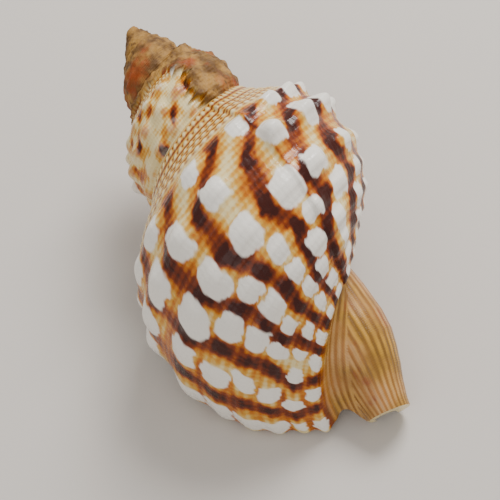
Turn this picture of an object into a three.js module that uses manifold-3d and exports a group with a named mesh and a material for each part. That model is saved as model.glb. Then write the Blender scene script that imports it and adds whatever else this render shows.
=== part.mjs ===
// A large knobbed triton shell, right-handed, lying on its open side with its apex towards +Y.
//
// The shell is one piece. Its outer wall is one growth curve, the lip, turned back around the axis
// and shrunk by the same ratio in every whorl. Spiral cords with rows of knobs stand on it. The last
// whorl is hollow from the aperture inwards, and a canal, open below, leads from the aperture to the tip.
//
// While it is built the axis runs along -Y from the apex at the origin, and the lip is at -X.
// The finished shell is rolled over until it rests, and its origin is the bottom centre of its box.
import * as THREE from 'three';
import { mergeVertices } from 'three/addons/utils/BufferGeometryUtils.js';
import Module from 'manifold-3d';

// Driving dimensions, in millimetres and degrees

// The size of each whorl against the one before it
const WHORL_GROWTH = 2;
// The lip, as [radius from the axis, distance from the apex], from the suture to the end of the canal
const LIP = [
  [28, 65], [36.5, 75], [46, 83], [52.5, 92.5], [56, 105], [57.5, 119.5], [54, 135],
  [46.5, 148.5], [36, 157.5], [26, 164], [18.5, 163], [14.5, 172], [5, 182],
];
// Where a whorl starts, buried under the whorl before it, and its inner corner inside the pillar
const BURIED_START = [20, 64];
const BURIED_CORE = [3, 62];
// Where a spire whorl's curve ends, buried under the whorl after it
const SPIRE_END = 6.3;

// The cords: place along the lip in steps of its points, half width, rise, the knobs' rise, and
// the knobs that follow one another on the last half whorl, in degrees back from the lip. The last
// knob of the third cord sets the step of its knobs underneath, where the shell rests on one of them
const CORDS = [
  { at: 2.8, width: 0.34, rise: 0.8, knob: 4.4, knobs: [8, 30, 50, 80, 108, 132, 150] },
  { at: 4.0, width: 0.4, rise: 1.2, knob: 6.6, knobs: [8, 25, 42, 62, 84, 117, 140, 159] },
  { at: 5.35, width: 0.36, rise: 0.9, knob: 4.0, knobs: [8, 31, 47, 64, 84, 108, 125, 151, 181] },
  { at: 6.2, width: 0.26, rise: 0.7, knob: 1.8, knobs: [8, 30, 54, 71, 90, 112, 133, 155] },
  { at: 6.9, width: 0.26, rise: 0.8, knob: 1.8, knobs: [8, 34, 56, 72, 90, 106, 124, 148] },
  { at: 7.55, width: 0.24, rise: 0.8, knob: 1.5, knobs: [7, 30, 55, 69, 90, 102, 124, 147] },
  { at: 8.2, width: 0.22, rise: 0.7, knob: 1.1, knobs: [8, 24, 44, 57, 71, 89, 104, 126, 145] },
  { at: 8.8, width: 0.2, rise: 0.7, knob: 0.8, knobs: [8, 32, 54, 71, 89, 104, 122, 142] },
];
// The even step at which the knobs go on towards the apex
const KNOB_STEP = 20;
// How far one knob reaches along its cord, on its steep old side and its long young side
const KNOB_OLD_SIDE = 5.5;
const KNOB_YOUNG_SIDE = 8.5;
// An old lip crosses the last whorl here, and the knobs that grew after it are low
const BREAK_ANGLE = 112;
const BREAK_STEP = 1.1;
const LOW_KNOBS = 0.42;

// The spire is worn and crusted down to this angle, and its crust ends in a ledge. Beside the
// suture it reaches further down by so many degrees, and it fills the suture by so much
const CRUST_ANGLE = 472;
const CRUST_DEPTH = 4.8;
const CRUST_REACH = 150;
const CRUST_EDGE = 1.8;
const SUTURE_FILL = 8;
// The worn spire leans to the right above this distance from the apex, by so much at the apex
const LEAN_FROM = 62;
const LEAN = 4;

// The wall, the lip's edge and how far each cord pushes the lip outwards
const WALL = 3;
const LIP_EDGE = 2.2;
const LIP_SCALLOP = 1.4;
// The hollow: how far it reaches back from the lip, and the thin skin left over the whorl inside
const HOLLOW_ANGLE = 300;
const INNER_SKIN = 1.02;
// The pillar on the axis, as its radius for each millimetre from the apex
const PILLAR_TAPER = 0.06;
const PILLAR_END = 150;

// The canal, as [distance from the apex, left edge, right edge, underside, top] from the axis
const CANAL = [
  [108, -5, 11, -3, 10], [120, -9, 12.5, -9, 12], [132, -13, 12.8, -12, 13],
  [143, -15.1, 12.3, -13, 13.2], [150, -15.1, 11, -12.5, 12.8], [156, -15.1, 8.6, -11.5, 11.8],
  [161, -15.1, 6.2, -10.5, 10.8], [166, -15.1, 3.4, -9.2, 9.6], [172, -14.8, 0.6, -7.6, 8.2],
  [180, -14.6, -1.9, -6.2, 6.7],
];
// The channel inside it: where its middle runs and its half width
const CHANNEL = [[128, -7, 4.2], [143, -9.2, 5], [156, -9.2, 4.8], [166, -9, 4], [182, -9, 3.4]];
// The reach and slope of its broken tip
const CANAL_TIP = 172.5;
const CANAL_TIP_TILT = 14;

// How the shell lies: the roll lowers the lip to the ground, the pitch lowers the canal
const ROLL = -16.38;
const PITCH = 15.3;

// Steps of the faceted surface
const BODY_COLUMNS = 60;
const SPIRE_COLUMNS = 48;
const TIP_COLUMNS = 24;
const CANAL_SIDES = 18;

const wasm = await Module();
wasm.setup();

const lipCurve = new THREE.SplineCurve(LIP.map(([radius, along]) => new THREE.Vector2(radius, along)));
const LAST = LIP.length - 1;

// The size of the shell at a turn, where turn 0 is the lip and -1 is one whorl before it
function growth(turn) {
  return WHORL_GROWTH ** turn;
}

// A point of the lip's curve, and the direction that points out of the shell there
function lipPoint(place) {
  return lipCurve.getPoint(place / LAST);
}

function lipNormal(place) {
  const step = 0.02;
  const before = lipPoint(Math.max(place - step, 0));
  const after = lipPoint(Math.min(place + step, LAST));
  return new THREE.Vector2(after.y - before.y, before.x - after.x).normalize();
}

// Every knob's angle back from the lip, out to the apex, for each cord
const KNOBS = CORDS.map(({ knobs }) => {
  const angles = [...knobs];
  while (angles.at(-1) < 4 * 360) angles.push(angles.at(-1) + KNOB_STEP);
  return angles;
});

// A bell of height 1 at 0 that is nearly 0 at a distance of 1.7
function bell(distance) {
  return Math.exp(-distance * distance);
}

function smooth(low, high, value) {
  return THREE.MathUtils.smoothstep(value, low, high);
}

// The height along a cord, from 0 between two knobs to 1 on a knob
function knobHeight(angles, back) {
  let height = 0;
  for (const angle of angles) {
    const past = back - angle;
    height = Math.max(height, bell(past / (past > 0 ? KNOB_OLD_SIDE : KNOB_YOUNG_SIDE)));
  }
  return height;
}

// How far the cords, knobs, old lip and crust stand out of the plain whorl, at the size of the lip
function relief(turn, place) {
  const back = -turn * 360;
  const old = smooth(BREAK_ANGLE - 3, BREAK_ANGLE + 3, back);
  const edge = CRUST_ANGLE - CRUST_REACH * (1 - smooth(0, CRUST_EDGE, place));
  const crust = smooth(edge - 4, edge + 2, back);
  const size = THREE.MathUtils.lerp(LOW_KNOBS, 1, old) * (1 - 0.35 * crust);
  let height = 0;
  CORDS.forEach((cord, index) => {
    const knobs = knobHeight(KNOBS[index], back) * size;
    height += bell((place - cord.at) / cord.width) * (cord.rise + cord.knob * knobs);
  });
  const onWhorl = smooth(0, 0.8, place) * (1 - smooth(8.6, 9.6, place));
  const step = BREAK_STEP * bell((back - BREAK_ANGLE - 4) / 7);
  const filled = SUTURE_FILL * bell((place - 0.3) / 1.1) * smooth(0, 40, back - CRUST_ANGLE);
  return height * smooth(0, 1, place) + onWhorl * (step + CRUST_DEPTH * crust) + filled;
}

// The lip's edge runs out a little at each cord and in between them
function scallop(place) {
  let reach = 0;
  for (const cord of CORDS) reach += bell((place - cord.at) / cord.width);
  return reach * LIP_SCALLOP;
}

// Puts a point of a whorl's section, radius and distance from the apex, at its turn
function around(radius, along, turn) {
  const angle = 2 * Math.PI * turn;
  const size = growth(turn);
  return new THREE.Vector3(-radius * size * Math.cos(angle), -along * size, -radius * size * Math.sin(angle));
}

// A closed solid through a row of sections, which all have the same number of points
function solidThrough(sections, flatEnds) {
  const count = sections[0].length;
  const corners = sections.flat();
  const faces = [];
  for (let row = 0; row < sections.length - 1; row += 1) {
    for (let point = 0; point < count; point += 1) {
      const next = (point + 1) % count;
      const a = row * count + point;
      const b = row * count + next;
      faces.push([a, b, a + count], [b, b + count, a + count]);
    }
  }
  const last = (sections.length - 1) * count;
  for (const [a, b, c] of THREE.ShapeUtils.triangulateShape(flatEnds[0], [])) faces.push([c, b, a]);
  for (const [a, b, c] of THREE.ShapeUtils.triangulateShape(flatEnds[1], [])) {
    faces.push([last + a, last + b, last + c]);
  }
  return closedSolid(corners, faces);
}

// Volume of a list of faces, negative where they point inwards
function signedVolume(corners, faces) {
  let volume = 0;
  for (const [a, b, c] of faces) {
    volume += corners[a].dot(new THREE.Vector3().crossVectors(corners[b], corners[c])) / 6;
  }
  return volume;
}

function closedSolid(corners, faces) {
  const outward = signedVolume(corners, faces) > 0;
  const vertProperties = new Float32Array(corners.flatMap((corner) => [corner.x, corner.y, corner.z]));
  const triVerts = new Uint32Array(faces.flatMap(([a, b, c]) => (outward ? [a, b, c] : [a, c, b])));
  return new wasm.Manifold(new wasm.Mesh({ numProp: 3, vertProperties, triVerts }));
}

// Evenly spaced values, both ends included
function steps(from, to, count) {
  return Array.from({ length: count + 1 }, (_, index) => from + ((to - from) * index) / count);
}

// Part of a whorl as a solid, from its outer wall in to the pillar
function whorl(fromTurn, toTurn, columns, places, atLip) {
  const end = places.at(-1) === LAST ? [3, LIP[LAST][1] - 4] : [3, lipPoint(places.at(-1)).y];
  const section = (turn) => {
    const outline = [new THREE.Vector2(...BURIED_START)];
    for (const place of places) {
      outline.push(lipPoint(place).addScaledVector(lipNormal(place), relief(turn, place)));
    }
    outline.push(new THREE.Vector2(...end), new THREE.Vector2(...BURIED_CORE));
    return outline;
  };
  const turns = steps(fromTurn, toTurn, columns);
  const sections = turns.map((turn) => section(turn).map((point, index) => {
    const place = places[index - 1];
    const reach = atLip && place !== undefined ? scallop(place) * smooth(-0.06, 0, turn) : 0;
    return around(point.x, point.y, turn + reach / (2 * Math.PI * Math.max(point.x, 12)));
  }));
  return solidThrough(sections, [section(fromTurn), section(toTurn)]);
}

// Rows of the surface: one on each cord and one on each side of it, and a few between
function bodyPlaces() {
  const beside = CORDS.flatMap(({ at, width }) => [at - width, at, at + width]);
  const between = [0, 0.7, 1.4, 2.0, 3.35, 4.7, 9.4, 9.9, 10.5, 11.2, LAST];
  return [...beside, ...between].sort((a, b) => a - b);
}

function spirePlaces() {
  return [0, 0.8, 1.6, ...bodyPlaces().filter((place) => place > 2.3 && place < 5.8), SPIRE_END];
}

// The hollow of the last whorl, from outside the lip back to its closed end
function hollow() {
  const start = 0.035;
  const turns = steps(start, -HOLLOW_ANGLE / 360, 26);
  const section = (turn) => {
    const closing = smooth(-HOLLOW_ANGLE / 360, -HOLLOW_ANGLE / 360 + 0.12, turn);
    const wall = THREE.MathUtils.lerp(LIP_EDGE, WALL, smooth(0, 0.08, -turn));
    const outer = steps(0.55, 9.3, 13).map((place) => (
      lipPoint(place).addScaledVector(lipNormal(place), -wall)
    ));
    const pillar = [new THREE.Vector2(11, 156), new THREE.Vector2(9.6, 138), new THREE.Vector2(9, 112)];
    const inner = steps(8.6, 6.1, 4).map((place) => (
      lipPoint(place).multiplyScalar(INNER_SKIN / WHORL_GROWTH)
    ));
    const ring = [...outer, ...pillar, ...inner];
    const middle = new THREE.Vector2(34, 112);
    return ring.map((point) => middle.clone().lerp(point, 0.35 + 0.65 * closing));
  };
  const sections = turns.map((turn) => section(turn).map((point) => around(point.x, point.y, turn)));
  return solidThrough(sections, [section(turns[0]), section(turns.at(-1))]);
}

// The pillar that the whorls wind around, a plain cone from near the apex into the canal
function pillar() {
  const length = PILLAR_END - 2;
  const cone = new THREE.CylinderGeometry(2 * PILLAR_TAPER, PILLAR_END * PILLAR_TAPER, length, CANAL_SIDES);
  cone.translate(0, -2 - length / 2, 0);
  return fromGeometry(cone);
}

function fromGeometry(geometry) {
  geometry.deleteAttribute('normal');
  geometry.deleteAttribute('uv');
  const merged = mergeVertices(geometry);
  const position = merged.getAttribute('position');
  const corners = [];
  for (let index = 0; index < position.count; index += 1) {
    corners.push(new THREE.Vector3().fromBufferAttribute(position, index));
  }
  const faces = [];
  const order = merged.getIndex().array;
  for (let index = 0; index < order.length; index += 3) {
    faces.push([order[index], order[index + 1], order[index + 2]]);
  }
  return closedSolid(corners, faces);
}

// The canal's outside: oval sections whose left edges line up with the lip
function canal() {
  const outline = ([, left, right, under, top]) => (
    steps(0, 1 - 1 / CANAL_SIDES, CANAL_SIDES - 1).map((part) => {
      const angle = 2 * Math.PI * part;
      const x = (left + right) / 2 + ((right - left) / 2) * Math.cos(angle);
      return new THREE.Vector2(x, (top + under) / 2 + ((top - under) / 2) * Math.sin(angle));
    })
  );
  const sections = CANAL.map((row) => (
    outline(row).map((point) => new THREE.Vector3(point.x, -row[0], point.y))
  ));
  return solidThrough(sections, [outline(CANAL[0]), outline(CANAL.at(-1))]);
}

// The canal's channel: a slot with a round roof that opens downwards along its whole length
function channel() {
  const depth = 40;
  const outline = ([, middle, half]) => {
    const roof = steps(0, Math.PI, 6).map((angle) => (
      new THREE.Vector2(middle + half * Math.cos(angle), 0.9 * half * Math.sin(angle))
    ));
    return [...roof, new THREE.Vector2(middle - half, -depth), new THREE.Vector2(middle + half, -depth)];
  };
  const sections = CHANNEL.map((row) => (
    outline(row).map((point) => new THREE.Vector3(point.x, -row[0], point.y))
  ));
  return solidThrough(sections, [outline(CHANNEL[0]), outline(CHANNEL.at(-1))]);
}

// What lies past the broken end of the canal
function pastTheTip() {
  const block = new THREE.BoxGeometry(120, 80, 120);
  block.translate(0, -40, 0);
  block.rotateZ(THREE.MathUtils.degToRad(-CANAL_TIP_TILT));
  block.translate(-8, -CANAL_TIP, 0);
  return fromGeometry(block);
}

function shellSolid() {
  const rows = bodyPlaces();
  const spireRows = spirePlaces();
  const tipRows = [0, 1.5, 2.8, 4, 5.35, SPIRE_END];
  const half = BODY_COLUMNS / 2;
  const whorls = [
    whorl(-0.5, 0, half, rows, true),
    whorl(-1, -0.5, half, rows, false),
    whorl(-1.5, -1, SPIRE_COLUMNS / 2, spireRows, false),
    whorl(-2, -1.5, SPIRE_COLUMNS / 2, spireRows, false),
  ];
  for (const turn of [-2.5, -3, -3.5, -4, -4.5]) {
    whorls.push(whorl(turn, turn + 0.5, TIP_COLUMNS / 2, tipRows, false));
  }
  const grown = [...whorls, pillar(), canal()].reduce((joined, solid) => joined.add(solid));
  return grown.subtract(hollow()).subtract(channel()).subtract(pastTheTip());
}

// Joining whorls end to end leaves a few flat slivers of no volume, so only the biggest body is kept.
// Two faces belong to one body where they alone share an edge
function biggestBody(triVerts, cornerCount) {
  const faceCount = triVerts.length / 3;
  const facesAtEdge = new Map();
  for (let face = 0; face < faceCount; face += 1) {
    for (let side = 0; side < 3; side += 1) {
      const from = triVerts[3 * face + side];
      const to = triVerts[3 * face + ((side + 1) % 3)];
      const edge = Math.min(from, to) * cornerCount + Math.max(from, to);
      if (!facesAtEdge.has(edge)) facesAtEdge.set(edge, []);
      facesAtEdge.get(edge).push(face);
    }
  }
  const leader = Array.from({ length: faceCount }, (_, face) => face);
  const find = (face) => {
    let top = face;
    while (leader[top] !== top) top = leader[top];
    leader[face] = top;
    return top;
  };
  for (const faces of facesAtEdge.values()) {
    if (faces.length === 2) leader[find(faces[0])] = find(faces[1]);
  }
  const bodies = new Map();
  for (let face = 0; face < faceCount; face += 1) {
    const top = find(face);
    if (!bodies.has(top)) bodies.set(top, []);
    bodies.get(top).push(...triVerts.subarray(3 * face, 3 * face + 3));
  }
  return [...bodies.values()].sort((one, other) => other.length - one.length)[0];
}

// Bends the spire to the right, more and more towards the apex
function leanSpire(position) {
  for (let index = 0; index < position.count; index += 1) {
    const part = Math.max(0, 1 + position.getY(index) / LEAN_FROM);
    position.setX(index, position.getX(index) + LEAN * part * part);
  }
}

function shellGeometry() {
  const mesh = shellSolid().getMesh();
  const geometry = new THREE.BufferGeometry();
  geometry.setAttribute('position', new THREE.BufferAttribute(mesh.vertProperties, 3));
  geometry.setIndex(biggestBody(mesh.triVerts, mesh.numVert));
  leanSpire(geometry.getAttribute('position'));
  geometry.rotateY(THREE.MathUtils.degToRad(ROLL));
  geometry.rotateX(THREE.MathUtils.degToRad(PITCH));
  geometry.computeBoundingBox();
  const { min, max } = geometry.boundingBox;
  geometry.translate(-(min.x + max.x) / 2, -(min.y + max.y) / 2, -min.z);
  geometry.computeVertexNormals();
  return geometry;
}

const porcelain = new THREE.MeshStandardMaterial({ color: 0xc99a5b, roughness: 0.35, metalness: 0 });
const shell = new THREE.Mesh(shellGeometry(), porcelain);
shell.name = 'shell';

const part = new THREE.Group();
part.add(shell);

export default part;
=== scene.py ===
import logging
import math
from dataclasses import dataclass, field
from enum import Enum

import bmesh
import bpy
import numpy as np
from mathutils import Matrix, Vector


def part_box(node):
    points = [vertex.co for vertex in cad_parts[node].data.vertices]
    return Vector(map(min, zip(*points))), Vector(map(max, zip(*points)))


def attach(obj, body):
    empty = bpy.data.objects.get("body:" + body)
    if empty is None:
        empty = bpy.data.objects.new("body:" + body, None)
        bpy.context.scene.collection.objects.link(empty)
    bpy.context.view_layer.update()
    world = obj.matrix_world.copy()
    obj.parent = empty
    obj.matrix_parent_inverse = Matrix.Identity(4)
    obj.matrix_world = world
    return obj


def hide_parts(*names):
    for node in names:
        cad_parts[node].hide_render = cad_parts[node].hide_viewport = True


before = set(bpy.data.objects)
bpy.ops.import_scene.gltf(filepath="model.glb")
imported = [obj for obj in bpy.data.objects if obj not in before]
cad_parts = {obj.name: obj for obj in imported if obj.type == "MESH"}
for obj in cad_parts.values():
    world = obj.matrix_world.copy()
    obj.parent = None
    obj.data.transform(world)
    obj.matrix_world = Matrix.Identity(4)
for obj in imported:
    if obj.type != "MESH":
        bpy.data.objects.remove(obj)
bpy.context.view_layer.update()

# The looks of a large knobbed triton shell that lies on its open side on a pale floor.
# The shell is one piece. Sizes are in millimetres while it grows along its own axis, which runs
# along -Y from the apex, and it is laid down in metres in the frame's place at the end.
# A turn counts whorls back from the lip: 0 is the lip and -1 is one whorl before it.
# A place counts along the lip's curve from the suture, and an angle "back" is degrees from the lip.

LOG = logging.getLogger("triton")
MM = 0.001
GROWTH_MAP = "growth"
MARKS = "marks"
REGIONS = "regions"
# How far the growth map's place runs once around the canal or the hollow
MAP_ROUND = 10.0
# Millimetres along the canal for each turn of the growth map
CANAL_TURN = 100.0
# Turn and place, past the region's offset, of surfaces without any markings
PLAIN_TURN = -0.3
PLAIN_PLACE = 10.0
# Places of a region lie from just below its offset to this far above it
REGION_REACH = 15.0

# Edges of the shell that turn by more degrees than this stay sharp
SHARP_EDGE = 50.0

Colour = tuple[float, float, float, float]


def bell(distance: np.ndarray) -> np.ndarray:
    """Gives a bell of height 1 at 0 that is nearly 0 at a distance of 1.7."""
    return np.exp(-distance * distance)


def plateau(distance: np.ndarray) -> np.ndarray:
    """Gives a bell with a flat top and steep sides, half as high at a distance of 0.9."""
    return np.exp(-distance**4)


def smooth(low: float, high: float, value: np.ndarray) -> np.ndarray:
    """Gives 0 below low, 1 above high and a smooth rise between them."""
    part = np.clip((value - low) / (high - low), 0.0, 1.0)
    return part * part * (3.0 - 2.0 * part)


def ripple(first: np.ndarray, second: np.ndarray) -> np.ndarray:
    """Gives an uneven wave over two coordinates, as the sum of three even ones.

    Args:
        first: the first coordinate.
        second: the second coordinate.

    Returns:
        The wave, mostly between -1 and 1.
    """
    long_wave = np.sin(first + 1.7 * second + 0.4)
    cross_wave = np.sin(2.3 * first - 1.9 * second + 2.0)
    short_wave = np.sin(3.77 * first + 3.1 * second + 4.0)
    return (long_wave + 0.8 * cross_wave + 0.6 * short_wave) / 2.0


def scatter(number: np.ndarray) -> np.ndarray:
    """Gives each number a value of its own between 0 and 1, spread without a pattern."""
    return np.mod(np.sin(number * 12.9898) * 437.585, 1.0)


class Region(Enum):
    """The kinds of surface that the shell has, as the offset of their place in the growth map."""

    WHORL = 0.0
    CANAL = 20.0
    INSIDE = 40.0
    BROKEN = 60.0

    def holds(self, place: np.ndarray) -> np.ndarray:
        """Gives 1 for places in the growth map that lie in the region, and 0 for others."""
        return ((place >= self.value - 1.0) & (place < self.value + REGION_REACH)).astype(float)


class Cut(Enum):
    """How a solid is put together with another."""

    JOIN = "UNION"
    TAKE_AWAY = "DIFFERENCE"


@dataclass(frozen=True)
class Cord:
    """A spiral cord with its row of knobs.

    Attributes:
        at: place of its crest.
        width: half width, in places.
        rise: height of the bare cord.
        knob: height of its tallest knobs above the cord.
        knobs: angles back from the lip of the knobs on the last half whorl.
        dark: how dark the brown marks get between its knobs, from 0 to 1.
        spot: half length of the white spot on a knob, in degrees.
    """

    at: float
    width: float
    rise: float
    knob: float
    knobs: tuple[float, ...]
    dark: float
    spot: float


CORDS = (
    Cord(2.8, 0.34, 0.8, 4.4, (8, 30, 50, 80, 108, 132, 150), 0.6, 6.0),
    Cord(4.0, 0.40, 1.2, 6.6, (8, 25, 42, 62, 84, 117, 140, 159), 0.85, 7.0),
    Cord(5.35, 0.36, 0.9, 4.0, (8, 31, 47, 64, 84, 108, 125, 151, 181), 1.0, 6.4),
    Cord(6.2, 0.26, 0.7, 1.8, (8, 30, 54, 71, 90, 112, 133, 155), 1.0, 6.2),
    Cord(6.9, 0.26, 0.8, 1.8, (8, 34, 56, 72, 90, 106, 124, 148), 0.75, 5.4),
    Cord(7.55, 0.24, 0.8, 1.5, (7, 30, 55, 69, 90, 102, 124, 147), 1.0, 4.6),
    Cord(8.2, 0.22, 0.7, 1.1, (8, 24, 44, 57, 71, 89, 104, 126, 145), 0.7, 4.6),
    Cord(8.8, 0.20, 0.7, 0.8, (8, 32, 54, 71, 89, 104, 122, 142), 0.85, 4.8),
)
CORD_PLACES = tuple(cord.at for cord in CORDS)
# The step at which knobs and flames go on towards the apex, and the angle where they end
KNOB_STEP = 20.0
APEX_BACK = 1500.0


@dataclass(frozen=True)
class Flame:
    """A brown flame that crosses the cords.

    Attributes:
        backs: its angle back from the lip on each cord in turn.
        dark: how dark it is, from 0 to 1.
    """

    backs: tuple[float, ...]
    dark: float


FLAMES = (
    Flame((18, 17, 19, 18, 20, 18, 16, 20), 0.7),
    Flame((40, 34, 39, 43, 45, 44, 35, 42), 0.8),
    Flame((64, 52, 55, 62, 63, 61, 63, 62), 0.8),
    Flame((94, 73, 73, 79, 81, 78, 79, 80), 0.95),
    Flame((119, 101, 96, 101, 99, 97, 97, 97), 0.95),
    Flame((141, 128, 117, 121, 112, 111, 115, 114), 1.0),
    Flame((160, 150, 139, 145, 138, 136, 135, 132), 1.0),
)


@dataclass(frozen=True)
class Growth:
    """The growth of the shell: the lip's curve turned around the axis, smaller in every whorl.

    Attributes:
        whorl_growth: size of a whorl against the one before it.
        lip: points of the lip's curve, as radius from the axis and distance from the apex.
        lean_from: distance from the apex where the spire starts to lean.
        lean: how far its apex leans.
    """

    whorl_growth: float = 2.0
    lip: tuple[tuple[float, float], ...] = (
        (28, 65), (36.5, 75), (46, 83), (52.5, 92.5), (56, 105), (57.5, 119.5), (54, 135),
        (46.5, 148.5), (36, 157.5), (26, 164), (18.5, 163), (14.5, 172), (5, 182),
    )
    lean_from: float = 62.0
    lean: float = 4.0

    @property
    def last(self) -> int:
        """Place of the end of the lip's curve."""
        return len(self.lip) - 1

    def size(self, turn: np.ndarray) -> np.ndarray:
        """Size of the shell at a turn against its size at the lip."""
        return self.whorl_growth**turn

    def point(self, place: np.ndarray) -> np.ndarray:
        """Finds points of the lip's curve.

        Args:
            place: places along the curve.

        Returns:
            Radius from the axis and distance from the apex, for each place.
        """
        knots = np.array(self.lip, float)
        place = np.clip(np.asarray(place, float), 0.0, self.last)
        index = np.minimum(place.astype(int), self.last - 1)
        part = (place - index)[..., None]
        before = knots[np.maximum(index - 1, 0)]
        start = knots[index]
        end = knots[index + 1]
        after = knots[np.minimum(index + 2, self.last)]
        slope_start = (end - before) / 2.0
        slope_end = (after - start) / 2.0
        return (
            (2.0 * start - 2.0 * end + slope_start + slope_end) * part**3
            + (-3.0 * start + 3.0 * end - 2.0 * slope_start - slope_end) * part**2
            + slope_start * part
            + start
        )

    def normal(self, place: np.ndarray) -> np.ndarray:
        """Finds the directions that point out of the shell along the lip's curve.

        Args:
            place: places along the curve.

        Returns:
            One direction of length 1 for each place, as radius and distance from the apex.
        """
        step = 0.02
        along = self.point(np.asarray(place) + step) - self.point(np.asarray(place) - step)
        outward = np.stack([along[..., 1], -along[..., 0]], -1)
        return outward / np.linalg.norm(outward, axis=-1, keepdims=True)

    def around(self, section: np.ndarray, turn: np.ndarray) -> np.ndarray:
        """Puts points of a whorl's section at their turns.

        Args:
            section: radius from the axis and distance from the apex of each point.
            turn: turn of each point.

        Returns:
            The points in space, around an axis that runs along -Y.
        """
        angle = 2.0 * math.pi * turn
        size = self.size(turn)
        radius = section[..., 0] * size
        return np.stack([-radius * np.cos(angle), -section[..., 1] * size, -radius * np.sin(angle)], -1)

    def even_places(self, low: float, high: float, spacing: float) -> np.ndarray:
        """Spreads places along the lip's curve so that they are evenly far apart.

        Args:
            low: the first place.
            high: the last place.
            spacing: distance between neighbours, which is rounded to fit.

        Returns:
            The places, with both ends.
        """
        fine = np.linspace(low, high, 800)
        steps = np.linalg.norm(np.diff(self.point(fine), axis=0), axis=1)
        length = np.concatenate([[0.0], np.cumsum(steps)])
        count = max(3, int(round(length[-1] / spacing)))
        return np.interp(np.linspace(0.0, length[-1], count + 1), length, fine)


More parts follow.
